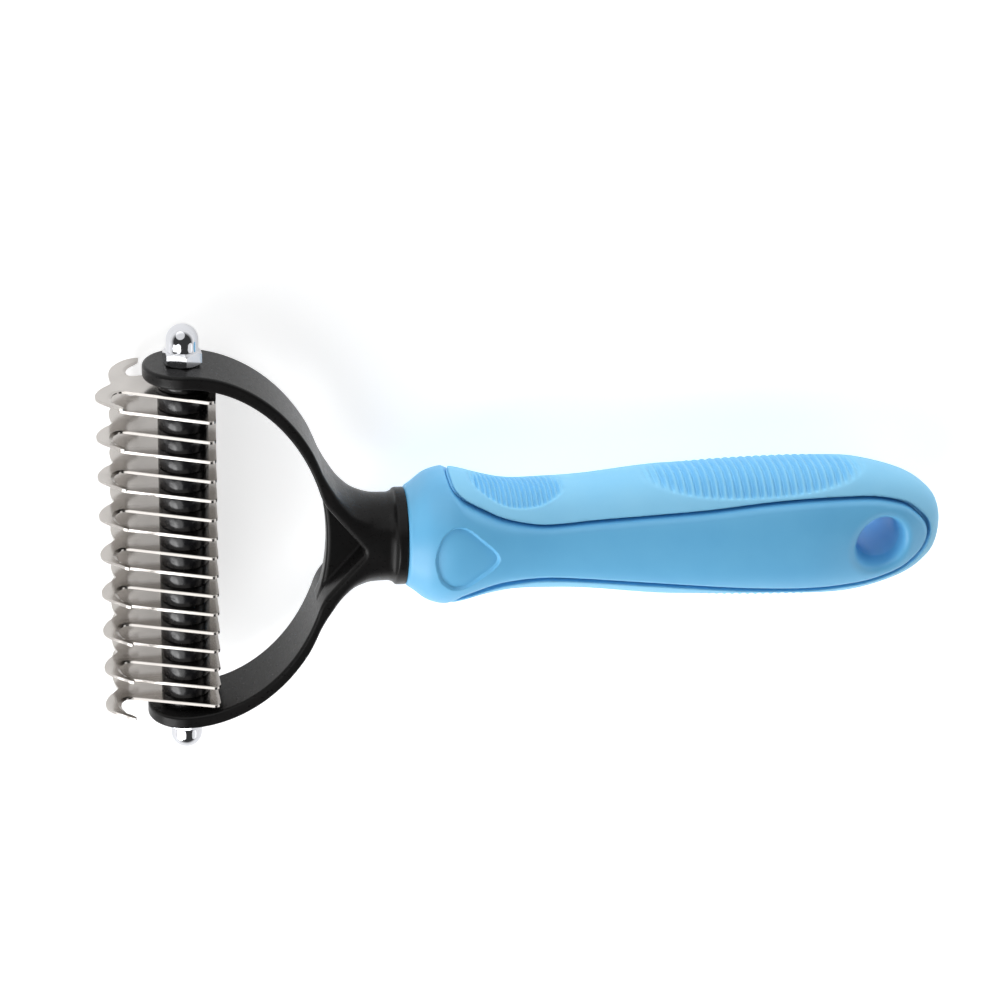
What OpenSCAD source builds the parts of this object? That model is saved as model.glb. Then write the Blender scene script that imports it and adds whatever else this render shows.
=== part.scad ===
// Two-sided undercoat rake: hooked steel blades and plastic spacers threaded on a rod,
// held in a moulded fork by two cap nuts, with a soft-sided handle on the fork's tang.
// The rod lies along Y, the handle points along +X, and the single-hook side faces down.

/* [Blades] */
// Number of blades on the rod; odd ones carry a hook on both sides
blade_count = 17; // [15:2:19]
// Distance from one blade to the next
blade_pitch = 4.23; // [4:0.01:4.6]
// Thickness of a blade
blade_t = 0.7; // [0.5:0.1:1]
// Angle by which the stack is twisted from the first blade to the last
blade_twist = 6; // [0:1:8]

/* [Spacers and rod] */
// Outer diameter of a spacer tube
spacer_d = 10; // [8:0.5:11]
// Length of the spacer between the outer blade and the lug
end_spacer_len = 2.05; // [1.5:0.05:3]
// Diameter of the rod
rod_d = 3.9; // [3.5:0.1:4]
// Radial play between the rod and the bores that turn on it
rod_play = 0.07; // [0.03:0.01:0.09]
// Play between the faces that turn past each other
face_play = 0.05; // [0.02:0.01:0.1]

/* [Cap nuts] */
// Width across the flats of a nut
nut_af = 7; // [7:0.1:8]
// Height of the hexagon
nut_hex_h = 2.8; // [2.6:0.1:4]
// Overall height of a nut
nut_h = 8; // [7.5:0.1:9]
// Diameter of the dome
nut_dome_d = 6.5; // [6:0.1:6.8]
// Angle at which the tightened nuts stand
nut_turn = 20; // [0:5:55]

/* [Fork] */
// Thickness of a lug
lug_t = 2.8; // [2.5:0.1:4]
// Radius of a lug's round end
lug_r = 7.9; // [7:0.1:9]
// Distance from the rod to the crotch of the window
window_reach = 28.6; // [27:0.1:30]
// Distance from the rod to where the outer curve would cross the middle
arm_reach = 30.6; // [30.2:0.1:32]
// Radius of the round neck
neck_r = 9.1; // [8.8:0.1:9.4]
// Radius of the flange at the end of the neck
flange_r = 9.7; // [9.5:0.1:9.9]
// Length of the tang inside the handle
tang_len = 52; // [30:1:60]

/* [Handle] */
// Distance from the rod to the butt
butt_x = 157.8; // [157:0.1:159]
// Width of the groove between the rigid body and the soft band
groove_w = 0.9; // [0.5:0.1:1.2]
// Depth of that groove
groove_h = 0.8; // [0.5:0.1:1.5]
// Diameter of the hanging hole
hang_d = 9.6; // [8:0.2:10]
// Distance from the rod to the hanging hole
hang_x = 142.8; // [142:0.1:144]
// Length of the hanging hole's straight wall
hang_wall = 13; // [10:1:15]

/* [Hidden] */
steel = "silver";
chrome = "gainsboro";
black = "#2c2c2e";
blue = "#8fd0f2";
soft_blue = "#7fc4ea";

round_fn = 64;
curve_steps = 3;

rod_r = rod_d / 2;
bore_r = rod_r + rod_play;
spacer_len = blade_pitch - blade_t;
half_stack = (blade_count - 1) / 2 * blade_pitch + blade_t / 2;
lug_in = half_stack + end_spacer_len + face_play;
lug_out = lug_in + lug_t;
nut_seat = lug_out + face_play;
nut_bore_h = 6.4;
rod_half = nut_seat + nut_bore_h - 0.5;

// Half depth of the fork along X, from the rod to the neck
arm_depths = [[0, 7.9], [10, 7.7], [20, 7.7], [30, 7.8], [36, 8.1], [40, 8.3], [45, 8.4]];
// Radius of the round envelope that draws the crotch in to the neck
crotch_radii = [[20, 50], [26, 24], [30, 14.9], [33, 11.2], [36, 9.6], [39, 9.1], [41.5, 9.1]];
// Fillet between the outer curve of an arm and the neck
fillet_points = [[27.4, 17.4], [29.2, 14.3], [31.2, 11.9], [34, 10], [38, 9.3], [42, 9.2]];
flange_x = 41.7;
grip_x = 44.5;
pocket_x = 24;
pocket_tip_x = 35.9;
pocket_half = 14.6;
web_half = 2;
tang_w = 8;
tang_h = 10;
tang_play = 0.1;
seat_play = 0.4;
key_x = 62;
key_d = 5;

// Handle sections: distance from the rod, half width and half thickness
grip_sections = [
    [44.5, 9.8, 9.8], [46, 10.7, 10.7], [49, 13, 12.2], [52.5, 13.9, 13], [56, 13.3, 13.1],
    [61, 11.8, 12.8], [66, 10.9, 12.5], [73, 10.8, 12.3], [82, 11.2, 12.6], [95, 12.7, 13.4],
    [110, 13.8, 14.4], [127, 14.3, 14.4], [137, 14, 13.1], [144, 12.8, 11.5], [150, 10.9, 9.3],
    [154, 8.4, 6.9], [156.6, 5.3, 4.2], [butt_x, 1, 0.8]
];
grip_power = 2.3;
grip_sides = 44;
// Half width of the rigid face panel, from the swell to its end near the butt
panel_points = [
    [52.5, 16], [53, 12.9], [55, 10.9], [59, 8.9], [63, 7.2], [67, 6.2], [71.5, 5.6], [76, 5.7],
    [82, 6.2], [93, 7.1], [105, 8.1], [117, 9.2], [127, 9.7], [135, 9.6], [141.5, 9], [147.5, 7],
    [151.4, 4], [153.6, 0]
];
flare_h = 7;
flare_r = 7.4;

// Blade outline in X and Z, drawn in stretches that meet at its corners
rear_x = 6.5;
corner_r = 1.2;
near_slope = 0.36;
near_at_rod = 6.8;
throat_x = -11;
low_z = -6.2;
notch = [-13.9, -1.4];
fine_throat = [
    [-8.6, -5.4], [-10.2, -5.5], [-11.1, -6.5], [-11.3, -8.2], [-10.9, -10], [-10, -11.7],
    [-9.1, -13.2], [-9, -14.8]
];
fine_back = [
    [-9, -14.8], [-10.4, -14.4], [-11.9, -13.4], [-13, -12.1], [-14, -10.3], [-14.6, -8.2],
    [-14.7, -6], [-14.4, -3.5], notch
];
coarse_back = [
    notch, [-14.7, -0.2], [-15.7, 1.1], [-16.5, 2.8], [-16.9, 4.6], [-16.7, 6.2], [-15.9, 7.6],
    [-14.7, 8.8], [-13.2, 9.9], [-11.5, 10.9]
];
coarse_throat = [
    [-11.5, 10.9], [-12.6, 9.6], [-13.3, 8], [-13.7, 6.3], [-13.6, 4.7], [-13.1, 3.5],
    [-12.2, 2.8], [throat_x, near_z(throat_x)]
];
plain_nose = [notch, [-13.6, 0.4], [-12.6, 1.9], [throat_x, near_z(throat_x)]];

function near_z(x) = near_at_rod + near_slope * x;
function blade_angle(i) = blade_twist * (0.5 - (i - 1) / (blade_count - 1));
function blade_y(i) = ((blade_count + 1) / 2 - i) * blade_pitch;
function two_hooks(i) = i % 2 == 1;

// One point of a smooth curve between b and c, at share t of the way
function between(a, b, c, d, t) =
    0.5 * (2 * b + (c - a) * t + (2 * a - 5 * b + 4 * c - d) * t * t + (3 * b - a - 3 * c + d) * t * t * t);
// A smooth curve through the points of p
function curve(p, steps = curve_steps) = [
    for (i = [0 : len(p) - 2], s = [0 : steps - 1])
        between(p[max(i - 1, 0)], p[i], p[i + 1], p[min(i + 2, len(p) - 1)], s / steps),
    p[len(p) - 1]
];
function arc(centre, r, from, to, steps = 6) = [
    for (s = [0 : steps]) let (a = from + (to - from) * s / steps) centre + r * [cos(a), sin(a)]
];
function flip(p) = [for (i = [len(p) - 1 : -1 : 0]) [p[i].x, -p[i].y]];
function turned(p, a) = [p.x * cos(a) - p.y * sin(a), p.x * sin(a) + p.y * cos(a)];
function oval(rx, ry, from, to, steps) = [
    for (s = [0 : steps]) let (a = from + (to - from) * s / steps) [rx * cos(a), ry * sin(a)]
];

function blade_outline(both) = concat(
    arc([rear_x - corner_r, low_z + corner_r], corner_r, 0, -90),
    curve(fine_throat),
    curve(fine_back),
    both ? concat(curve(coarse_back), curve(coarse_throat)) : curve(plain_nose),
    arc([rear_x - corner_r, near_z(rear_x - 2 * corner_r) - corner_r], corner_r, 110, 0)
);

// The assembly's box: the hooks reach furthest forward and lowest
all_hook_points = [
    for (i = [1 : blade_count], p = blade_outline(two_hooks(i))) turned(p, blade_angle(i))
];
front_x = min([for (p = all_hook_points) p.x]);
base_z = min([for (p = all_hook_points) p.y]);
centre_x = (front_x + butt_x) / 2;

function two_digits(i) = i < 10 ? str("0", i) : str(i);
function blade_name(i) = str("blade_", two_digits(i));
function spacer_name(i) = str("spacer_", two_digits(i));

// Moves a shape drawn round the rod's axis into the part's own frame
module placed() {
    translate([-centre_x, 0, -base_z]) children();
}

// Lays a shape drawn along Z along Y, starting at y
module along_y(y) {
    translate([0, y, 0]) rotate([-90, 0, 0]) children();
}

module rod_bore(from, to) {
    along_y(from) cylinder(h = to - from, r = bore_r, $fn = round_fn);
}

module blade(i) {
    color(steel) placed() rotate([0, -blade_angle(i), 0]) difference() {
        translate([0, blade_y(i) + blade_t / 2, 0]) rotate([90, 0, 0])
            linear_extrude(blade_t) polygon(blade_outline(two_hooks(i)));
        rod_bore(blade_y(i) - 1, blade_y(i) + 1);
    }
}

module tube(from, len) {
    color(black) placed() difference() {
        along_y(from) cylinder(h = len, d = spacer_d, $fn = round_fn);
        rod_bore(from - 1, from + len + 1);
    }
}

module rod() {
    color(steel) placed() along_y(-rod_half) cylinder(h = 2 * rod_half, r = rod_r, $fn = round_fn);
}

// A domed nut that stands on the plane z = 0
module cap_nut_upright() {
    dome_r = nut_dome_d / 2;
    corner_d = nut_af / cos(30);
    chamfer_h = 0.9;
    difference() {
        union() {
            intersection() {
                cylinder(h = nut_hex_h, d = corner_d, $fn = 6);
                union() {
                    cylinder(h = nut_hex_h - chamfer_h, d = corner_d + 1, $fn = round_fn);
                    translate([0, 0, nut_hex_h - chamfer_h])
                        cylinder(h = chamfer_h, d1 = corner_d, d2 = nut_dome_d, $fn = round_fn);
                }
            }
            cylinder(h = nut_h - dome_r, r = dome_r, $fn = round_fn);
            translate([0, 0, nut_h - dome_r]) sphere(r = dome_r, $fn = round_fn);
        }
        translate([0, 0, -1]) cylinder(h = nut_bore_h + 1, r = bore_r, $fn = round_fn);
    }
}

module cap_nut(side) {
    color(chrome) placed() translate([0, side * nut_seat, 0]) rotate([0, -nut_turn, 0])
        rotate([-90 * side, 0, 0]) cap_nut_upright();
}

// Seen from above: two strap arms between two ovals, drawn in to the neck by a fillet
module fork_plan() {
    fillet = curve(fillet_points);
    outer = oval(arm_reach, lug_out, 90, asin(fillet_points[0].y / lug_out) + 2, 20);
    upper = concat([[-lug_r, lug_in], [-lug_r, lug_out]], outer, fillet);
    difference() {
        polygon(concat(upper, flip(upper)));
        polygon(concat([[-20, lug_in]], oval(window_reach, lug_in, 90, -90, 48), [[-20, -lug_in]]));
    }
}

// Seen from the side: round lug ends, then arms whose depth varies along X
module fork_side() {
    edge = curve(arm_depths);
    circle(r = lug_r, $fn = round_fn);
    polygon(concat(edge, flip(edge)));
}

// Turns a profile of [x, r] points round the X axis
module around_x(profile) {
    first = profile[0];
    last = profile[len(profile) - 1];
    rotate([0, 90, 0]) rotate_extrude($fn = round_fn)
        polygon(concat([[0, first.x]], [for (p = profile) [p.y, p.x]], [[0, last.x]]));
}

// Triangular recess in one face of the crotch, open to the window, that leaves a web in the middle
module pocket(face) {
    translate([0, 0, face > 0 ? web_half : -web_half - 20]) linear_extrude(20)
        polygon([[pocket_x, -pocket_half], [pocket_tip_x, 0], [pocket_x, pocket_half]]);
}

module tang(play = 0) {
    len = tang_len + play;
    translate([grip_x - 1, -tang_w / 2 - play, -tang_h / 2 - play])
        cube([len + 1, tang_w + 2 * play, tang_h + 2 * play]);
}

// Cross hole in the tang that the handle's moulding fills
module tang_key(play = 0) {
    translate([key_x, 0, 0]) rotate([90, 0, 0])
        cylinder(h = tang_w + 2, d = key_d - 2 * play, center = true, $fn = round_fn);
}

// Flat round seats, sunk in the curved inner faces of the lugs, that the end spacers bear on
module spacer_seats() {
    along_y(-lug_in) cylinder(h = 2 * lug_in, r = spacer_d / 2 + seat_play, $fn = round_fn);
}

module fork() {
    color(black) placed() difference() {
        union() {
            intersection() {
                translate([0, 0, -20]) linear_extrude(40) fork_plan();
                translate([0, 60, 0]) rotate([90, 0, 0]) linear_extrude(120) fork_side();
                union() {
                    around_x(curve(crotch_radii));
                    translate([-10, -50, -20]) cube([30, 100, 40]);
                }
            }
            around_x([
                [38, neck_r], [flange_x - 1, neck_r], [flange_x, flange_r], [grip_x - 0.4, flange_r],
                [grip_x, flange_r - 0.4]
            ]);
            difference() {
                tang();
                tang_key();
            }
        }
        for (face = [-1, 1]) pocket(face);
        spacer_seats();
        rod_bore(-lug_out - 1, lug_out + 1);
    }
}

// The whole handle, lofted through its sections and shrunk by inset all round
module grip_solid(inset = 0) {
    rows = curve(grip_sections, 2);
    n = grip_sides;
    count = len(rows);
    points = [
        for (row = rows, k = [0 : n - 1]) let (
            a = 360 * k / n,
            cy = pow(abs(cos(a)), 2 / grip_power) * sign(cos(a)),
            cz = pow(abs(sin(a)), 2 / grip_power) * sign(sin(a))
        ) [row[0], max(row[1] - inset, 0.3) * cy, max(row[2] - inset, 0.3) * cz]
    ];
    sides = [
        for (j = [0 : count - 2], k = [0 : n - 1]) let (k2 = (k + 1) % n)
            each [
                [j * n + k, (j + 1) * n + k, j * n + k2],
                [j * n + k2, (j + 1) * n + k, (j + 1) * n + k2]
            ]
    ];
    caps = [[for (k = [0 : n - 1]) k], [for (k = [n - 1 : -1 : 0]) (count - 1) * n + k]];
    polyhedron(points, concat(sides, caps));
}

// Everything inside the outline of the face panels, with the swell in front of it
module panel_column(grow = 0) {
    edge = curve(panel_points);
    half = concat([[40, 20], [panel_points[0].x, 20]], [for (p = edge) [p.x + grow, p.y + grow]]);
    translate([0, 0, -20]) linear_extrude(40) polygon(concat(half, flip(half)));
}

module hanging_hole() {
    translate([hang_x, 0, -20]) cylinder(h = 40, d = hang_d, $fn = round_fn);
    for (face = [0, 180]) rotate([face, 0, 0]) translate([hang_x, 0, hang_wall / 2])
        cylinder(h = flare_h, r1 = hang_d / 2, r2 = flare_r, $fn = round_fn);
}

module grip_body() {
    color(blue) placed() {
        difference() {
            intersection() {
                grip_solid();
                panel_column();
            }
            tang(tang_play);
            hanging_hole();
        }
        tang_key(tang_play);
    }
}

module side_band() {
    color(soft_blue) placed() difference() {
        grip_solid();
        panel_column();
        difference() {
            panel_column(groove_w);
            grip_solid(groove_h);
        }
    }
}

for (i = [1 : blade_count]) blade(i);
for (i = [1 : blade_count - 1]) tube(blade_y(i) - blade_t / 2 - spacer_len, spacer_len);
tube(half_stack, end_spacer_len);  // end_spacer_left
tube(-half_stack - end_spacer_len, end_spacer_len);  // end_spacer_right
rod();
cap_nut(1);  // cap_nut_left
cap_nut(-1);  // cap_nut_right
fork();
grip_body();
side_band();
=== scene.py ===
import math

import bmesh
import bpy
import numpy as np
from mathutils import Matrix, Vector
from mathutils.geometry import tessellate_polygon


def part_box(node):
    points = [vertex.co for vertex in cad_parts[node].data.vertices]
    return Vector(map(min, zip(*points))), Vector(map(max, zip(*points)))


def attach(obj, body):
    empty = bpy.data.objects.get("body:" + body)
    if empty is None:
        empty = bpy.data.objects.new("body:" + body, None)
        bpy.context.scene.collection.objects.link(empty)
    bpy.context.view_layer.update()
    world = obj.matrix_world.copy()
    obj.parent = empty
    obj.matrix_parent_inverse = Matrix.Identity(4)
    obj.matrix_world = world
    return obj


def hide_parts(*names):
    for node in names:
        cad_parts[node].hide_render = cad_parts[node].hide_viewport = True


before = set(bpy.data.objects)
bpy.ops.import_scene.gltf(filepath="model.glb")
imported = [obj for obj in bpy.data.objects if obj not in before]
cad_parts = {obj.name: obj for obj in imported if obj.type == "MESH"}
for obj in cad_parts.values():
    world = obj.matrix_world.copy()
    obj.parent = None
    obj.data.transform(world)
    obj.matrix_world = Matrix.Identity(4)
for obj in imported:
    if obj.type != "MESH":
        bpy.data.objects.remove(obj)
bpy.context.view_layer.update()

# Every length below is in millimetres, measured from the rod's axis: X runs along the handle,
# Y along the rod, and Z up. placed() takes such points into the frame, in metres.
MM = 0.001
rod_low, rod_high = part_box("rod")
axis_x = (rod_low.x + rod_high.x) / 2
axis_z = (rod_low.z + rod_high.z) / 2

# The stack on the rod: blades a pitch apart, turned by TWIST degrees from the first to the last
BLADES = 17
PITCH = 4.23
BLADE_T = 0.7
TWIST = 6
SPACER_R = 5
BORE_R = 2.02
END_SPACER = 2.05
HALF_STACK = (BLADES - 1) / 2 * PITCH + BLADE_T / 2
# The fork's lugs, from their inner faces to their outer faces, and the nuts on them
PLAY = 0.05
LUG_T = 2.8
LUG_IN = HALF_STACK + END_SPACER + PLAY
LUG_OUT = LUG_IN + LUG_T
NUT_SEAT = LUG_OUT + PLAY
LUG_R = 7.9
# The handle, from the fork's flange to the butt, with its hanging hole
GRIP_X = 44.5
BUTT_X = 157.8
HOLE_X = 142.8
HOLE_R = 4.8


def placed(points):
    return np.asarray(points, float) * MM + (axis_x, 0, axis_z)


# ---------------------------------------------------------------- curves and distances


def curve(points, steps=8):
    """A smooth curve through the points, with that many stretches between two of them."""
    p = np.asarray(points, float)
    p = np.vstack([p[:1], p, p[-1:]])
    t = (np.arange(steps) / steps)[:, None]
    out = []
    for a, b, c, d in zip(p, p[1:], p[2:], p[3:]):
        bend = (2 * a - 5 * b + 4 * c - d) * t**2 + (3 * b - a - 3 * c + d) * t**3
        out.append(0.5 * (2 * b + (c - a) * t + bend))
    return np.vstack(out + [p[-1:]])


def half_outline(points, steps=8, both_ends=False):
    """A smooth curve that meets y = 0 squarely at its end, or at both ends, ready to mirror."""
    p = np.asarray(points, float)
    beyond = p[-2:-1] * (1, -1)
    if both_ends:
        return curve(np.vstack([p[1:2] * (1, -1), p, beyond]), steps)[steps:-steps]
    return curve(np.vstack([p, beyond]), steps)[:-steps]


def arc(centre, radius, start, end, steps=8):
    a = np.radians(np.linspace(start, end, steps + 1))
    return np.stack([centre[0] + radius * np.cos(a), centre[1] + radius * np.sin(a)], 1)


def oval(rx, ry, start, end, steps=64):
    a = np.radians(np.linspace(start, end, steps + 1))
    return np.stack([rx * np.cos(a), ry * np.sin(a)], 1)


def mirrored(points):
    """The points and their mirror image across y = 0, as one closed outline."""
    p = np.asarray(points, float)
    return np.vstack([p, p[::-1] * (1, -1)])


def smooth_step(t):
    t = np.clip(t, 0, 1)
    return t * t * (3 - 2 * t)


def smooth_max(a, b, r):
    """The larger of two distances, with the edge where they meet rounded over r."""
    h = np.clip(r - np.abs(a - b), 0, None) / r
    return np.maximum(a, b) + h * h * r / 4


def smooth_min(a, b, r):
    return -smooth_max(-a, -b, r)


def outline_distance(outline, step=0.1, margin=4):
    """A function of x and |y|: the distance to a closed outline, negative inside it."""
    p = np.asarray(outline, float)
    low = np.array([p[:, 0].min() - margin, 0])
    high = p.max(0) + margin
    xs = np.arange(low[0], high[0] + step, step)
    ys = np.arange(low[1], high[1] + step, step)
    x, y = np.meshgrid(xs, ys, indexing="ij")
    nearest = np.full(x.shape, 1e9)
    inside = np.zeros(x.shape, bool)
    for (ax, ay), (bx, by) in zip(p, np.roll(p, -1, 0)):
        dx, dy = bx - ax, by - ay
        length = dx * dx + dy * dy
        if length < 1e-12:
            continue
        t = np.clip(((x - ax) * dx + (y - ay) * dy) / length, 0, 1)
        nearest = np.minimum(nearest, (x - ax - t * dx) ** 2 + (y - ay - t * dy) ** 2)
        if dy:
            inside ^= ((ay > y) != (by > y)) & (x < dx * (y - ay) / dy + ax)
    table = np.sqrt(nearest) * np.where(inside, -1, 1)

    def distance(x, y):
        u = np.clip((x - low[0]) / step, 0, len(xs) - 1.001)
        v = np.clip((np.abs(y) - low[1]) / step, 0, len(ys) - 1.001)
        i, j = u.astype(np.int32), v.astype(np.int32)
        u, v = u - i, v - j
        near = table[i, j] * (1 - u) + table[i + 1, j] * u
        far = table[i, j + 1] * (1 - u) + table[i + 1, j + 1] * u
        return near * (1 - v) + far * v

    return distance


def along(profile, steps=10):
    """A function of x that follows the smooth curve through a profile's (x, value) points."""
    p = curve(profile, steps)

    def value(x):
        return np.interp(x, p[:, 0], p[:, 1])

    return value


def along_slope(value, x, step=0.1):
    """How much longer than its run in x a profile is there, from its slope."""
    return np.sqrt(1 + ((value(x + step) - value(x - step)) / (2 * step)) ** 2)


# ---------------------------------------------------------------- meshes


def gradient(field, points, step=0.04):
    out = np.empty_like(points)
    for axis in range(3):
        ahead, behind = points.copy(), points.copy()
        ahead[:, axis] += step
        behind[:, axis] -= step
        out[:, axis] = (field(*ahead.T) - field(*behind.T)) / (2 * step)
    return out


SETTLE_PASSES = 4


def surface(field, xs, ys, zs):
    """Quads over the zero level of field(x, y, z) on a grid, settled onto it, with their normals."""
    axes = [np.asarray(a, float) for a in (xs, ys, zs)]
    grid = np.meshgrid(*axes, indexing="ij")
    value = field(*grid)
    inside = value < 0
    corners = [(i, j, k) for i in (0, 1) for j in (0, 1) for k in (0, 1)]
    cells = tuple(n - 1 for n in value.shape)
    count = np.zeros(cells, np.int8)
    for c in corners:
        count += inside[tuple(slice(o, o + n) for o, n in zip(c, cells))]
    active = np.argwhere((count > 0) & (count < 8))
    index = np.full(cells, -1, np.int64)
    index[tuple(active.T)] = np.arange(len(active))
    total = np.zeros((len(active), 3))
    hits = np.zeros(len(active))
    for a in corners:
        for axis in range(3):
            if a[axis]:
                continue
            b = tuple(1 if n == axis else o for n, o in enumerate(a))
            ia, ib = active + a, active + b
            va, vb = value[tuple(ia.T)], value[tuple(ib.T)]
            crossed = (va < 0) != (vb < 0)
            share = np.where(crossed, va / np.where(crossed, va - vb, 1), 0)
            for n in range(3):
                start, end = axes[n][ia[:, n]], axes[n][ib[:, n]]
                total[:, n] += np.where(crossed, start + (end - start) * share, 0)
            hits += crossed
    # Every cell that the surface crosses holds one point, the mean of the crossings on its edges
    points = total / hits[:, None]
    # Every grid edge that leaves or enters the solid is ringed by four cells, which make a quad
    quads = []
    for axis in range(3):
        one, two = (axis + 1) % 3, (axis + 2) % 3
        ahead = np.roll(inside, -1, axis)
        edges = np.argwhere(inside != ahead)
        keep = edges[:, axis] < value.shape[axis] - 1
        for other in (one, two):
            keep &= (edges[:, other] > 0) & (edges[:, other] < value.shape[other] - 1)
        edges = edges[keep]
        ring = []
        for back_one, back_two in ((0, 0), (1, 0), (1, 1), (0, 1)):
            cell = edges.copy()
            cell[:, one] -= back_one
            cell[:, two] -= back_two
            ring.append(index[tuple(cell.T)])
        ring = np.stack(ring, 1)
        leaves = inside[tuple(edges.T)]
        quads.append(np.where(leaves[:, None], ring, ring[:, ::-1]))
    reach = min(np.diff(a).min() for a in axes)
    for _ in range(SETTLE_PASSES):
        slope = gradient(field, points)
        steep = np.maximum((slope**2).sum(1), 0.05)
        move = -(field(*points.T) / steep)[:, None] * slope
        size = np.maximum(np.linalg.norm(move, axis=1) / (0.5 * reach), 1)
        points = points + move / size[:, None]
    normals = gradient(field, points)
    normals /= np.maximum(np.linalg.norm(normals, axis=1), 1e-9)[:, None]
    return points, np.vstack(quads), normals


def new_object(name, points, faces, material, normals=None, sharp=None):
    """A mesh object from points in millimetres. Edges sharper than sharp degrees stay crisp."""
    mesh = bpy.data.meshes.new(name)
    faces = faces.tolist() if isinstance(faces, np.ndarray) else faces
    mesh.from_pydata(placed(points).tolist(), [], faces)
    mesh.validate()
    mesh.update()
    mesh.shade_smooth()
    if sharp:
        mesh.set_sharp_from_angle(angle=math.radians(sharp))
    if normals is not None:
        mesh.normals_split_custom_set_from_vertices(normals.tolist())
    mesh.materials.append(material)
    piece = bpy.data.objects.new(name, mesh)
    bpy.context.scene.collection.objects.link(piece)
    return piece


def make_outward(piece):
    """Turns every face of a closed mesh so that it looks outward."""
    mesh = bmesh.new()
    mesh.from_mesh(piece.data)
    bmesh.ops.recalc_face_normals(mesh, faces=mesh.faces)
    mesh.to_mesh(piece.data)
    mesh.free()


def stands_for(piece, node, body):
    """The piece shows instead of the CAD node and moves with the body."""
    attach(piece, body)
    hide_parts(node)


def loft(rings, closed=False):
    """Points and quads over rings of equally many points, each ring closed."""
    rings = [np.asarray(r, float) for r in rings]
    n = len(rings[0])
    rows = len(rings)
    faces = []
    for j in range(rows if closed else rows - 1):
        for k in range(n):
            a, b = j * n + k, j * n + (k + 1) % n
            c, d = (j + 1) % rows * n + (k + 1) % n, (j + 1) % rows * n + k
            faces.append((a, b, c, d))
    return np.vstack(rings), faces


# ---------------------------------------------------------------- the handle

# Handle sections: distance from the rod, half width and half thickness
GRIP_SECTIONS = [
    [GRIP_X, 9.8, 9.8], [46, 10.7, 10.7], [49, 13, 12.2], [52.5, 13.9, 13], [56, 13.3, 13.1],
    [61, 11.8, 12.8], [66, 10.9, 12.5], [73, 10.8, 12.3], [82, 11.2, 12.6], [95, 12.7, 13.4],
    [110, 13.8, 14.4], [127, 14.3, 14.4], [137, 14, 13.1], [144, 12.8, 11.5], [150, 10.9, 9.3],
    [154, 8.4, 6.9], [156.6, 5.3, 4.2], [BUTT_X, 0, 0]
]
GRIP_POWER = 2.3
FRONT_ROUND = 0.8
# Half width of the rigid face panel, from the swell to its end near the butt
PANEL_EDGE = [
    [52.5, 16], [53, 12.9], [55, 10.9], [59, 8.9], [63, 7.2], [67, 6.2], [71.5, 5.6], [76, 5.7],
    [82, 6.2], [93, 7.1], [105, 8.1], [117, 9.2], [127, 9.7], [135, 9.6], [141.5, 9],
    [147.5, 7.3], [150.7, 5.1], [152.9, 2.6], [153.7, 0]
]
# The clearance between panel and band, and the width and depth of the groove along the handle
SEAM = 0.02
GROOVE_WIDTHS = [[45, 0.6], [56, 0.6], [64, 0.65], [76, 0.75], [95, 0.75], [156, 0.75]]
GROOVE_DEPTHS = [[45, 0.6], [53, 0.7], [58, 1.3], [64, 1.5], [156, 1.5]]
GROOVE_ROUND = 0.6
# Radius of the panel's rounded edge, along the handle
LIP_RADII = [[45, 0.8], [53.5, 0.8], [56, 2], [62, 2.2], [68, 1.6], [80, 1.1], [156, 1]]
# Half of the outline of the shallow recess on each face of the swell
RECESS_EDGE = [
    [49.8, 0], [50.2, 2.4], [51.3, 5.1], [53.7, 6.8], [56.3, 6.2], [58.9, 4.1], [61.4, 1.9],
    [62.4, 0]
]
RECESS_DEPTH = 0.75
RECESS_WALL = 0.7
# How much the hanging hole widens toward each face, from that height on, and its rounded rim
HOLE_FLARE = 0.2
HOLE_FLARE_Z = 6.5
HOLE_ROUND = 2.2
# The fork's tang in the handle: length, width along Y and height along Z
TANG = (52, 8.2, 10.2)
# The ribbed zones on each flank are rounded ovals. Reach is their length to the front and to the
# butt from the middle, half is their half height, and power squares their outline.
RIB_ZONES = [
    dict(middle=67.3, reach=(10.4, 10.4), half=8, power=2.1, pitch=1.05, depth=0.72),
    dict(middle=117, reach=(24.5, 23.7), half=10.5, power=2.4, pitch=1.65, depth=0.95)
]
# How far the ribs bow along X at a height of 1 mm, and how deep a whole zone lies below the skin
RIB_BOW = -0.004
RIB_SINK = 0.22


def grip_profiles():
    """The handle's half width and half thickness as functions of x, round at the butt."""
    steps = 12
    x, width, thickness = GRIP_SECTIONS[-2]
    p = curve(GRIP_SECTIONS + [[x, -width, -thickness]], steps)[:-steps]
    return (lambda x: np.interp(x, p[:, 0], p[:, 1])), (lambda x: np.interp(x, p[:, 0], p[:, 2]))


half_width, half_thickness = grip_profiles()


def grip_skin(x, y, z):
    """Distance to the smooth outside of the whole handle, negative inside."""
    off_axis = 1e-3
    thinnest = 0.02
    y = np.abs(y) + off_axis
    z = np.abs(z) + off_axis
    rho = np.hypot(y, z)

    def radial(x):
        w = np.maximum(half_width(x), thinnest)
        t = np.maximum(half_thickness(x), thinnest)
        f = ((y / w) ** GRIP_POWER + (z / t) ** GRIP_POWER) ** (1 / GRIP_POWER)
        return rho - rho / f

    step = 0.05
    slope = (radial(x + step) - radial(x - step)) / (2 * step)
    skin = radial(x) / np.sqrt(1 + slope * slope)
    return smooth_max(np.maximum(skin, x - BUTT_X), GRIP_X - x, FRONT_ROUND)


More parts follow.
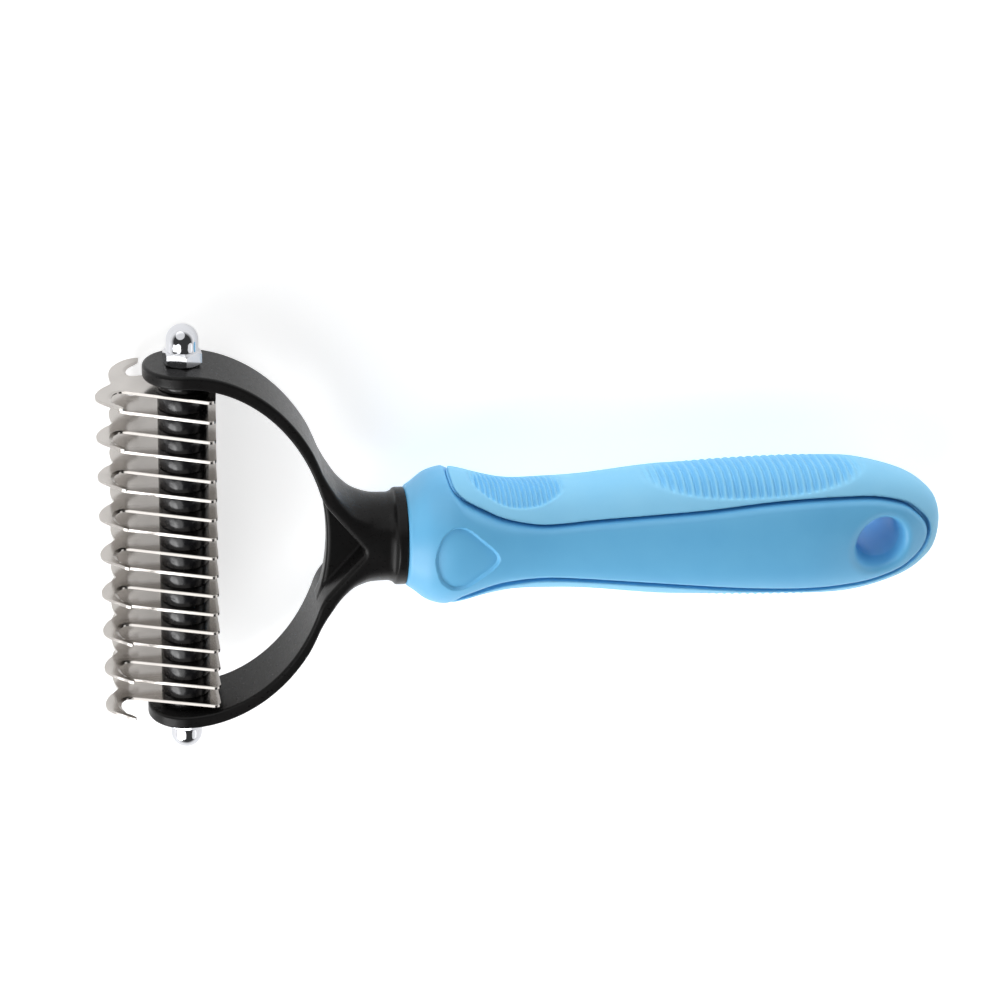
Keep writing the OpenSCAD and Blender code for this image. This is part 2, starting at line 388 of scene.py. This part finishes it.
def rib_zone(x, z, middle, reach, half, power, pitch, depth):
    """How deep a zone's ribs cut into the flank at x and z, fading toward the zone's outline."""
    far = 1.5
    across = np.minimum(np.abs(x - middle) / np.where(x < middle, *reach), far) ** power
    upward = np.minimum(np.abs(z) / half, far) ** power
    inside = 1 - (across + upward) ** (1 / power)
    phase = (x - middle - RIB_BOW * z * z) / pitch
    valley = 0.5 + 0.5 * np.cos(2 * np.pi * phase)
    floor = smooth_step((inside + 0.03) / 0.12) * RIB_SINK
    return floor + smooth_step(inside / 0.2) * depth * valley


def hanging_hole(x, y, z):
    """Distance to the wall of the hanging hole, negative in the hole."""
    flare = HOLE_FLARE * np.maximum(np.abs(z) - HOLE_FLARE_Z, 0)
    return np.hypot(x - HOLE_X, y) - HOLE_R - flare


def grip_body_field(panel, recess):
    """The rigid body: the handle within the panel's outline, less recess, hole and tang."""
    lip = along(LIP_RADII)

    def field(x, y, z):
        skin = grip_skin(x, y, z)
        skin = skin + RECESS_DEPTH * smooth_step(0.5 - recess(x, y) / RECESS_WALL)
        body = smooth_max(skin, panel(x, y), lip(x))
        body = smooth_max(body, -hanging_hole(x, y, z), HOLE_ROUND)
        length, width, height = TANG
        tang = np.maximum(np.abs(y) - width / 2, np.abs(z) - height / 2)
        return np.maximum(body, -np.maximum(tang, x - GRIP_X - length))

    return field


def side_band_field(panel):
    """The soft band: the handle outside the panel's outline, ribbed, with the groove along it."""
    groove_width = along(GROOVE_WIDTHS)
    groove_depth = along(GROOVE_DEPTHS)

    def field(x, y, z):
        skin = grip_skin(x, y, z)
        ribbed = skin
        for zone in RIB_ZONES:
            ribbed = ribbed + rib_zone(x, z, **zone)
        side = panel(x, y)
        groove = np.maximum(side - groove_width(x), -groove_depth(x) - skin)
        return smooth_max(np.maximum(ribbed, SEAM - side), -groove, GROOVE_ROUND)

    return field


def panel_distance():
    """Distance to the panel's outline, which takes in the whole handle before its first point."""
    front = GRIP_X - 4.5
    side = 20
    edge = half_outline(PANEL_EDGE)
    return outline_distance(mirrored(np.vstack([[[front, side], [PANEL_EDGE[0][0], side]], edge])))


def make_handle():
    panel = panel_distance()
    recess = outline_distance(mirrored(half_outline(RECESS_EDGE, both_ends=True)), 0.05)
    end = BUTT_X + 0.5
    ys = np.arange(-15.6, 15.7, 0.3)
    zs = np.arange(-15, 15.1, 0.3)
    xs = np.arange(GRIP_X - 0.5, end, 0.25)
    points, faces, normals = surface(grip_body_field(panel, recess), xs, ys, zs)
    body = new_object("panel_body", points, faces, blue_plastic(), normals)
    stands_for(body, "grip_body", "handle")
    xs = np.arange(PANEL_EDGE[0][0] - 0.8, end, 0.2)
    points, faces, normals = surface(side_band_field(panel), xs, ys, zs)
    band = new_object("ribbed_band", points, faces, blue_rubber_with_painted_light(), normals)
    stands_for(band, "side_band", "handle")


# ---------------------------------------------------------------- the fork

# The arms lie between two half ovals, and a fillet leads from the outer one into the neck
WINDOW_REACH = 28.6
ARM_REACH = 30.6
NECK_HALF = 9.2
FILLET = [[27.4, 17.4], [29.2, 14.3], [31.2, 11.9], [34, 10], [38, 9.3], [42, NECK_HALF]]
ARM_ROUND = 0.7
# Half depth of the fork along Z, from the rod to the flange
ARM_DEPTHS = [[0, 7.9], [10, 7.7], [20, 7.7], [30, 7.8], [36, 8.1], [40, 8.3], [46, 8.4]]
# Radius of the round envelope that draws the crotch in to the neck
CROTCH_RADII = [[20, 50], [26, 24], [30, 14.9], [33, 11.2], [36, 9.6], [39, 9.1], [46, 9.1]]
CROTCH_ROUND = 1.2
FLANGE_X = 42.6
FLANGE_R = 9.8
FLANGE_ROUND = 0.5
FLANGE_FILLET = 2
# The recess in the crotch, before its tip is rounded, and the web in its middle
POCKET = [[22, 15.1], [34.3, 0]]
POCKET_TIP_R = 1.5
POCKET_ROUND = 1
WEB_HALF = 2.1
WEB_ROUND = 1
WEB_FILLET = 0.6
# Room round the end spacers in the lugs, and round the tang in the handle
SEAT_PLAY = 0.4
TANG_PLAY = 0.1
# The tang's cross hole: its place along the handle and its radius
TANG_HOLE = (62, 2.5)


def fork_outline():
    """The fork's outside in plan, from beyond the lugs to the handle."""
    fillet = curve(FILLET)
    meet = math.degrees(math.asin(FILLET[0][1] / LUG_OUT)) + 2
    outer = oval(ARM_REACH, LUG_OUT, 90, meet, 40)
    neck = [[GRIP_X + 0.5, NECK_HALF]]
    return mirrored(np.vstack([[[-LUG_R - 1, LUG_OUT]], outer, fillet, neck]))


def window_outline():
    """The opening between the arms in plan, from beyond the lugs to the crotch."""
    inner = oval(WINDOW_REACH, LUG_IN, 90, 0, 60)
    return mirrored(np.vstack([[[-LUG_R - 2, LUG_IN]], inner]))


def fork_field():
    """The fork: two lugs, arms, crotch with its recess and web, neck, flange and tang."""
    crotch_start = CROTCH_RADII[0][0]
    plan = outline_distance(fork_outline())
    window = outline_distance(window_outline())
    pocket_plan = outline_distance(mirrored(POCKET), 0.05)
    depth = along(ARM_DEPTHS)
    envelope = along(CROTCH_RADII)

    def field(x, y, z):
        height = np.abs(z)
        radius = np.hypot(y, z)
        lug = np.hypot(x, z) - LUG_R
        arm = (height - depth(x)) / along_slope(depth, x)
        side = np.where(x < 0, lug, arm)
        arms = np.maximum(plan(x, y), -window(x, y))
        arms = smooth_max(arms, side, ARM_ROUND)
        neck = (radius - envelope(x)) / along_slope(envelope, x)
        funnel = np.where(x < crotch_start, -10, neck)
        arms = smooth_max(arms, np.maximum(funnel, x - FLANGE_X - 1), CROTCH_ROUND)
        ends = np.abs(x - (FLANGE_X + GRIP_X) / 2) - (GRIP_X - FLANGE_X) / 2
        flange = smooth_max(radius - FLANGE_R, ends, FLANGE_ROUND)
        fork = smooth_min(arms, flange, FLANGE_FILLET)
        pocket = pocket_plan(x, y) - POCKET_TIP_R
        web = smooth_max(height - WEB_HALF, -window(x, y), WEB_ROUND)
        fork = smooth_max(fork, -pocket, POCKET_ROUND)
        fork = smooth_min(fork, np.maximum(web, pocket - 0.5), WEB_FILLET)
        seat = np.maximum(np.hypot(x, z) - SPACER_R - SEAT_PLAY, np.abs(y) - LUG_IN)
        fork = np.maximum(fork, -seat)
        fork = smooth_max(fork, BORE_R - np.hypot(x, z), 0.2)
        length, width, thick = TANG
        tang = np.maximum(np.abs(y) - width / 2, height - thick / 2) + TANG_PLAY
        tang = np.maximum(tang, np.maximum(x - GRIP_X - length, GRIP_X - 2 - x))
        tang = np.maximum(tang, TANG_HOLE[1] - np.hypot(x - TANG_HOLE[0], z))
        return np.minimum(fork, tang)

    return field


def make_fork():
    # The tang is hidden in the handle, so its part of the grid is coarse
    tang_start = GRIP_X + 1.5
    tang_end = GRIP_X + TANG[0] + 1.5
    xs = np.hstack([np.arange(-8.5, tang_start, 0.25), np.arange(tang_start, tang_end, 0.8)])
    ys = np.arange(-39.8, 39.9, 0.25)
    zs = np.arange(-10.2, 10.3, 0.25)
    points, faces, normals = surface(fork_field(), xs, ys, zs)
    fork = new_object("moulded_fork", points, faces, black_nylon(), normals)
    stands_for(fork, "fork", "handle")


# ---------------------------------------------------------------- blades, spacers and nuts

# Blade outlines in X and Z: the fine hook points down and the coarse hook up, both forward. Each
# hook has a back and a throat, and the notch lies between the two backs.
REAR_X = 6.5
CORNER_R = 1.2
LOW_Z = -6.2
THROAT_X = -11
NOTCH = [-13.9, -1.4]
FINE_THROAT = [
    [-8.6, -5.4], [-10.2, -5.5], [-11.1, -6.5], [-11.3, -8.2], [-10.9, -10], [-10, -11.7],
    [-9.1, -13.2], [-9, -14.8]
]
FINE_BACK = [
    [-9, -14.8], [-10.4, -14.4], [-11.9, -13.4], [-13, -12.1], [-14, -10.3], [-14.6, -8.2],
    [-14.7, -6], [-14.4, -3.5], NOTCH
]
COARSE_BACK = [
    NOTCH, [-14.7, -0.2], [-15.7, 1.1], [-16.5, 2.8], [-16.9, 4.6], [-16.7, 6.2], [-15.9, 7.6],
    [-14.7, 8.8], [-13.2, 10.1], [-12.1, 11.1], [-11.4, 11.5]
]


def near_z(x):
    """Height of a blade's upper edge."""
    return 6.8 + 0.36 * x


COARSE_THROAT = [
    [-11.4, 11.5], [-11.1, 11], [-11.8, 10.1], [-12.7, 9.1], [-13.3, 7.8], [-13.7, 6.3],
    [-13.6, 4.7], [-13.1, 3.5], [-12.2, 2.8], [THROAT_X, near_z(THROAT_X)]
]
PLAIN_NOSE = [NOTCH, [-13.6, 0.4], [-12.6, 1.9], [THROAT_X, near_z(THROAT_X)]]
# The broken edge all round, and the ground bevel's width and half the edge that it leaves
EDGE_BREAK = 0.09
GRIND_WIDTH = 0.6
GRIND_EDGE = 0.1
# Where along a throat, from the hook's tip, the ground bevel begins and ends
GROUND_SPAN = (0.28, 0.97)


def blade_outline(two_hooks):
    """A blade's outline in x and z, and for each point the share of the ground bevel there."""
    # Each stretch with the part of its length where the bevel begins and ends
    start, end = GROUND_SPAN
    fine = [(FINE_THROAT, (1 - end, 1 - start)), (FINE_BACK, None)]
    coarse = [(COARSE_BACK, None), (COARSE_THROAT, GROUND_SPAN)]
    plain = [(PLAIN_NOSE, None)]
    points = [arc((REAR_X - CORNER_R, LOW_Z + CORNER_R), CORNER_R, 0, -90)]
    ground = [np.zeros(len(points[0]))]
    for stretch, span in fine + (coarse if two_hooks else plain):
        p = curve(stretch, 6)[:-1]
        points.append(p)
        if span is None:
            ground.append(np.zeros(len(p)))
            continue
        t = np.clip((np.arange(len(p)) / len(p) - span[0]) / (span[1] - span[0]), 0, 1)
        ground.append(np.abs(np.sin(np.pi * t)) ** 0.6)
    centre = (REAR_X - CORNER_R, near_z(REAR_X - 2 * CORNER_R) - CORNER_R)
    points.append(np.vstack([[[THROAT_X, near_z(THROAT_X)]], arc(centre, CORNER_R, 110, 0)]))
    ground.append(np.zeros(len(points[-1])))
    return np.vstack(points), np.hstack(ground)


def inward(outline):
    """The direction into the blade at each point of its clockwise outline."""
    step = np.roll(outline, -1, 0) - np.roll(outline, 1, 0)
    step /= np.linalg.norm(step, axis=1)[:, None]
    return np.stack([step[:, 1], -step[:, 0]], 1)


def blade_mesh(two_hooks):
    """A flat blade with broken edges, and both throats ground to a thin edge."""
    outline, ground = blade_outline(two_hooks)
    inset = outline + inward(outline) * (EDGE_BREAK + (GRIND_WIDTH - EDGE_BREAK) * ground)[:, None]
    half = BLADE_T / 2
    lip = half - EDGE_BREAK + (GRIND_EDGE - half + EDGE_BREAK) * ground
    bore = oval(BORE_R, BORE_R, 0, 360, 48)[:-1]
    n, m = len(outline), len(bore)

    def loop(points, y):
        return np.stack([points[:, 0], np.broadcast_to(y, len(points)), points[:, 1]], 1)

    rings = [loop(inset, half), loop(outline, lip), loop(outline, -lip), loop(inset, -half)]
    bores = [loop(bore, half), loop(bore, -half)]
    faces = []
    for j in range(3):
        for k in range(n):
            k2 = (k + 1) % n
            faces.append((j * n + k, j * n + k2, (j + 1) * n + k2, (j + 1) * n + k))
    for k in range(m):
        a, b = 4 * n + k, 4 * n + (k + 1) % m
        faces.append((a, a + m, b + m, b))
    flat = [[Vector((x, z, 0)) for x, z in loop_points] for loop_points in (inset, bore)]
    for a, b, c in tessellate_polygon(flat):
        cap = [i if i < n else i - n + 4 * n for i in (a, b, c)]
        faces.append(tuple(cap))
        faces.append(tuple(i + 3 * n if i < n else i + m for i in reversed(cap)))
    return np.vstack(rings + bores), faces


def make_blades():
    steel = ground_steel()
    shapes = {two_hooks: blade_mesh(two_hooks) for two_hooks in (False, True)}
    for i in range(1, BLADES + 1):
        points, faces = shapes[i % 2 == 1]
        a = math.radians(TWIST * (0.5 - (i - 1) / (BLADES - 1)))
        x, y, z = points.T
        turned = [x * math.cos(a) - z * math.sin(a), y, x * math.sin(a) + z * math.cos(a)]
        turned = np.stack(turned, 1) + (0, ((BLADES + 1) / 2 - i) * PITCH, 0)
        blade = new_object(f"ground_blade_{i:02d}", turned, faces, steel, sharp=20)
        make_outward(blade)
        stands_for(blade, f"blade_{i:02d}", "blade_stack")


def turned_part(profile, segments=72):
    """Points and quads of a closed profile of (y, r) points turned round the rod's axis."""
    a = 2 * np.pi * np.arange(segments) / segments
    rings = [np.stack([r * np.sin(a), np.full(segments, y), r * np.cos(a)], 1) for y, r in profile]
    return loft(rings, closed=True)


def spacer_profile(start, length):
    """Half section of a tube with rounded rims, as points of y and r."""
    edge = 0.22
    near, far = 0.06, 0.16
    end = start + length
    lip = SPACER_R - edge
    return [
        (start, BORE_R), (start, lip), (start + near, lip + far), (start + edge, SPACER_R),
        (end - edge, SPACER_R), (end - near, lip + far), (end, lip), (end, BORE_R)
    ]


def make_spacers():
    material = glossy_black()
    spots = {}
    for i in range(1, BLADES):
        top = ((BLADES + 1) / 2 - i) * PITCH - BLADE_T / 2
        spots[f"spacer_{i:02d}"] = (top - PITCH + BLADE_T, PITCH - BLADE_T)
    spots["end_spacer_left"] = (HALF_STACK, END_SPACER)
    spots["end_spacer_right"] = (-HALF_STACK - END_SPACER, END_SPACER)
    for node, (start, length) in spots.items():
        points, faces = turned_part(spacer_profile(start, length))
        tube = new_object(f"moulded_{node}", points, faces, material, sharp=50)
        make_outward(tube)
        stands_for(tube, node, "blade_stack")


# An M4 domed nut: across flats, height of the hexagon, whole height, dome and blind bore
NUT_AF = 7
NUT_HEX_H = 2.8
NUT_H = 8
NUT_DOME_R = 3.25
NUT_BORE_H = 6.4
NUT_TURN = 20
NUT_SEGMENTS = 96


def nut_rings():
    """Rings of a domed nut that stands on the plane z = 0, from its blind bore out to its top."""
    a = 2 * np.pi * np.arange(NUT_SEGMENTS) / NUT_SEGMENTS
    flat_r = NUT_AF / 2
    hexagon = flat_r / np.cos(a % (np.pi / 3) - np.pi / 6)
    # Both ends of the hexagon are turned to a cone, which takes off its corners
    turned_r = flat_r * 0.985
    upper = np.maximum(hexagon - turned_r, 0) * math.tan(math.radians(38))
    lower = upper * 0.7
    corner = 0.05
    drop = 0.06
    rise = NUT_H - NUT_DOME_R
    profile = [
        (0.01, NUT_BORE_H), (BORE_R, NUT_BORE_H - 0.6), (BORE_R, 0.35), (BORE_R + 0.3, 0),
        (flat_r * 0.95, 0), (hexagon - corner, lower), (hexagon, lower + drop),
        (hexagon, NUT_HEX_H - upper - drop), (hexagon - corner, NUT_HEX_H - upper),
        (turned_r, NUT_HEX_H), (NUT_DOME_R + 0.12, NUT_HEX_H + 0.02),
        (NUT_DOME_R + 0.02, NUT_HEX_H + 0.12)
    ]
    profile += [(NUT_DOME_R, z) for z in np.linspace(NUT_HEX_H + 0.25, rise, 4)]
    for t in np.radians(np.linspace(6, 89, 16)):
        profile.append((NUT_DOME_R * math.cos(t), rise + NUT_DOME_R * math.sin(t)))
    heights = [np.broadcast_to(z, NUT_SEGMENTS) for _, z in profile]
    return [
        np.stack([r * np.cos(a), r * np.sin(a), height], 1)
        for (r, _), height in zip(profile, heights)
    ]


def make_nuts():
    chrome = bright_chrome()
    points, faces = loft(nut_rings())
    last = len(points) - NUT_SEGMENTS
    faces.append(tuple(reversed(range(NUT_SEGMENTS))))
    faces.append(tuple(range(last, len(points))))
    turn = math.radians(NUT_TURN)
    x, up, height = points.T
    for side, name in ((1, "left"), (-1, "right")):
        around_x = x * math.cos(turn) - up * math.sin(turn)
        around_z = x * math.sin(turn) + up * math.cos(turn)
        spots = np.stack([around_x, side * (NUT_SEAT + height), around_z], 1)
        nut = new_object(f"domed_nut_{name}", spots, faces, chrome, sharp=24)
        make_outward(nut)
        stands_for(nut, f"cap_nut_{name}", f"nut_{name}")


# ---------------------------------------------------------------- materials


def srgb(*rgb):
    """Linear colour of 0 to 255 sRGB values."""
    c = [v / 255 for v in rgb]
    return [v / 12.92 if v <= 0.04045 else ((v + 0.055) / 1.055) ** 2.4 for v in c] + [1]


def principled(name, colour, roughness, **sockets):
    """A new material with its node tree and shader, and values for other sockets by name."""
    material = bpy.data.materials.new(name)
    material.use_nodes = True
    shader = material.node_tree.nodes["Principled BSDF"]
    shader.inputs["Base Color"].default_value = colour
    shader.inputs["Roughness"].default_value = roughness
    for socket, value in sockets.items():
        shader.inputs[socket.replace("_", " ")].default_value = value
    return material, material.node_tree, shader


def noise(tree, scale, detail=3, stretch=(1, 1, 1)):
    """Noise over the object's own space, with scale in bumps a metre."""
    place = tree.nodes.new("ShaderNodeTexCoord")
    mapping = tree.nodes.new("ShaderNodeMapping")
    mapping.inputs["Scale"].default_value = stretch
    texture = tree.nodes.new("ShaderNodeTexNoise")
    texture.inputs["Scale"].default_value = scale
    texture.inputs["Detail"].default_value = detail
    tree.links.new(place.outputs["Object"], mapping.inputs["Vector"])
    tree.links.new(mapping.outputs["Vector"], texture.inputs["Vector"])
    return texture.outputs["Fac"]


def blended(tree, factor, low, high):
    """A colour between low and high as factor goes from 0.3 to 0.7."""
    ramp = tree.nodes.new("ShaderNodeValToRGB")
    ramp.color_ramp.elements[0].position = 0.3
    ramp.color_ramp.elements[1].position = 0.7
    ramp.color_ramp.elements[0].color = low
    ramp.color_ramp.elements[1].color = high
    tree.links.new(factor, ramp.inputs["Fac"])
    return ramp.outputs["Color"]


def ranged(tree, factor, low, high):
    """A number between low and high as factor goes from 0.3 to 0.7."""
    scale = tree.nodes.new("ShaderNodeMapRange")
    scale.inputs["From Min"].default_value = 0.3
    scale.inputs["From Max"].default_value = 0.7
    scale.inputs["To Min"].default_value = low
    scale.inputs["To Max"].default_value = high
    tree.links.new(factor, scale.inputs["Value"])
    return scale.outputs["Result"]


def bump(tree, shader, height, distance, strength):
    """Fine surface relief, with distance in metres."""
    node = tree.nodes.new("ShaderNodeBump")
    node.inputs["Strength"].default_value = strength
    node.inputs["Distance"].default_value = distance
    tree.links.new(height, node.inputs["Height"])
    tree.links.new(node.outputs["Normal"], shader.inputs["Normal"])


def blue_plastic():
    """Satin moulded plastic: an even colour with slow mottling and a fine spark-eroded grain."""
    material, tree, shader = principled("blue_plastic", srgb(108, 189, 236), 0.42)
    mottle = blended(tree, noise(tree, 90), srgb(105, 186, 234), srgb(111, 192, 238))
    tree.links.new(mottle, shader.inputs["Base Color"])
    tree.links.new(ranged(tree, noise(tree, 700), 0.38, 0.46), shader.inputs["Roughness"])
    bump(tree, shader, noise(tree, 6000, 2), 0.00002, 0.35)
    return material


def blue_rubber_with_painted_light():
    """Soft-touch elastomer, duller than the rigid body. Its colour is painted light: the body's blue
    made lighter for the light that falls on the flanks.
    """
    # Painted light: this base colour and the mottle's range are lighter than the body's blue,
    # standing in for the extra light on the band's flanks.
    material, tree, shader = principled("blue_rubber_with_painted_light", srgb(136, 208, 246), 0.55)
    mottle = blended(tree, noise(tree, 110), srgb(133, 206, 245), srgb(139, 210, 247))
    tree.links.new(mottle, shader.inputs["Base Color"])
    tree.links.new(ranged(tree, noise(tree, 900), 0.5, 0.62), shader.inputs["Roughness"])
    bump(tree, shader, noise(tree, 5000, 3), 0.00003, 0.4)
    return material


def black_nylon():
    """Black satin nylon with faint flow streaks along the arms."""
    material, tree, shader = principled("black_nylon", srgb(23, 23, 23), 0.3)
    shader.inputs["Specular IOR Level"].default_value = 0.15
    tone = blended(tree, noise(tree, 260, 4, (0.35, 1, 1)), srgb(21, 21, 21), srgb(26, 25, 25))
    tree.links.new(tone, shader.inputs["Base Color"])
    tree.links.new(ranged(tree, noise(tree, 1200, 4), 0.26, 0.34), shader.inputs["Roughness"])
    bump(tree, shader, noise(tree, 4500, 3), 0.00003, 0.4)
    return material


def glossy_black():
    """Bright moulded plastic of the spacers."""
    material, tree, shader = principled("glossy_black", srgb(24, 24, 27), 0.22)
    tree.links.new(ranged(tree, noise(tree, 900, 4), 0.16, 0.28), shader.inputs["Roughness"])
    bump(tree, shader, noise(tree, 700, 2), 0.00004, 0.2)
    return material


def ground_steel():
    """Polished blade steel with fine grinding lines across the blade."""
    material, tree, shader = principled("ground_steel", srgb(174, 170, 166), 0.18, Metallic=1)
    lines = noise(tree, 1500, 3, (0.12, 1, 1.4))
    tone = blended(tree, noise(tree, 240), srgb(170, 166, 162), srgb(178, 174, 170))
    tree.links.new(tone, shader.inputs["Base Color"])
    tree.links.new(ranged(tree, lines, 0.14, 0.2), shader.inputs["Roughness"])
    bump(tree, shader, lines, 0.000004, 0.2)
    return material


def rod_steel():
    """Plain drawn steel, rougher round the rod than along it."""
    material, tree, shader = principled("rod_steel", srgb(176, 176, 178), 0.3, Metallic=1)
    lines = noise(tree, 2500, 3, (1, 0.1, 1))
    tree.links.new(ranged(tree, lines, 0.24, 0.4), shader.inputs["Roughness"])
    return material


def bright_chrome():
    """Polished chrome plate with a faint ripple."""
    material, tree, shader = principled("bright_chrome", srgb(198, 199, 203), 0.07, Metallic=1)
    tree.links.new(ranged(tree, noise(tree, 600, 4), 0.05, 0.12), shader.inputs["Roughness"])
    bump(tree, shader, noise(tree, 350, 2), 0.00002, 0.25)
    return material


def finish_rod():
    """The rod keeps its CAD shape, since only its ends could be seen."""
    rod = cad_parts["rod"]
    rod.data.materials.clear()
    rod.data.materials.append(rod_steel())


# ---------------------------------------------------------------- camera, floor and light


def make_camera():
    """A long lens that looks down on the tool from its left side."""
    data = bpy.data.cameras.new("camera")
    data.lens = 95.17
    data.sensor_width = 36
    data.clip_start = 0.01
    camera = bpy.data.objects.new("camera", data)
    camera.location = placed((-18.24, 235.93, 483.44))
    camera.rotation_euler = [math.radians(a) for a in (-25.363, -8.635, 2.275)]
    bpy.context.scene.collection.objects.link(camera)
    bpy.context.scene.camera = camera


FLOOR_GLOW = 0.6
FLOOR_HALF = 3


def make_floor():
    """A matt white floor that glows a little, so that it shows no dark shadows."""
    material, tree, shader = principled("studio_floor", (0.9, 0.9, 0.9, 1), 0.9)
    shader.inputs["Emission Color"].default_value = (1, 1, 1, 1)
    shader.inputs["Emission Strength"].default_value = FLOOR_GLOW
    tree.links.new(ranged(tree, noise(tree, 40), 0.85, 0.95), shader.inputs["Roughness"])
    mesh = bpy.data.meshes.new("floor")
    half = FLOOR_HALF
    corners = [(-half, -half, 0), (half, -half, 0), (half, half, 0), (-half, half, 0)]
    mesh.from_pydata(corners, [], [(0, 1, 2, 3)])
    mesh.materials.append(material)
    floor = bpy.data.objects.new("floor", mesh)
    bpy.context.scene.collection.objects.link(floor)


def area_light(name, place, size, power):
    """A round softbox in metres that looks at the middle of the tool."""
    data = bpy.data.lights.new(name, "AREA")
    data.shape = "DISK"
    data.size = size
    data.energy = power
    lamp = bpy.data.objects.new(name, data)
    lamp.location = place
    lamp.rotation_euler = Vector(place).to_track_quat("Z", "Y").to_euler()
    bpy.context.scene.collection.objects.link(lamp)


# Brightness of the light tent at the horizon and overhead, and the heights where each begins
HORIZON_LIGHT = 1.0
TOP_LIGHT = 0.05
HORIZON_TOP = 0.15
OVERHEAD = 0.5
TENT_STRENGTH = 1.3


def make_sky():
    """Soft light all round, bright at the horizon and dim overhead, as in a light tent."""
    world = bpy.data.worlds.new("light_tent")
    world.use_nodes = True
    tree = world.node_tree
    place = tree.nodes.new("ShaderNodeTexCoord")
    split = tree.nodes.new("ShaderNodeSeparateXYZ")
    ramp = tree.nodes.new("ShaderNodeValToRGB")
    ramp.color_ramp.elements[0].position = HORIZON_TOP
    ramp.color_ramp.elements[0].color = (HORIZON_LIGHT, HORIZON_LIGHT, HORIZON_LIGHT, 1)
    ramp.color_ramp.elements[1].position = OVERHEAD
    ramp.color_ramp.elements[1].color = (TOP_LIGHT, TOP_LIGHT, TOP_LIGHT, 1)
    tree.links.new(place.outputs["Generated"], split.inputs["Vector"])
    tree.links.new(split.outputs["Z"], ramp.inputs["Fac"])
    tree.links.new(ramp.outputs["Color"], tree.nodes["Background"].inputs["Color"])
    tree.nodes["Background"].inputs["Strength"].default_value = TENT_STRENGTH
    bpy.context.scene.world = world


def make_light():
    """The tent and four softboxes: name, place and size in metres, and power in watts."""
    make_sky()
    area_light("key", (-0.3, 0.88, 0.72), 1.3, 4.4)
    area_light("front", (-0.45, -0.43, 0.78), 0.6, 2)
    area_light("right", (0.8, -0.5, 0.6), 0.7, 1.4)
    area_light("left", (-0.7, -0.52, 0.46), 0.6, 5.2)
    bpy.context.scene.view_settings.view_transform = "Standard"


make_camera()
make_floor()
make_light()
make_handle()
make_fork()
make_blades()
make_spacers()
make_nuts()
finish_rod()
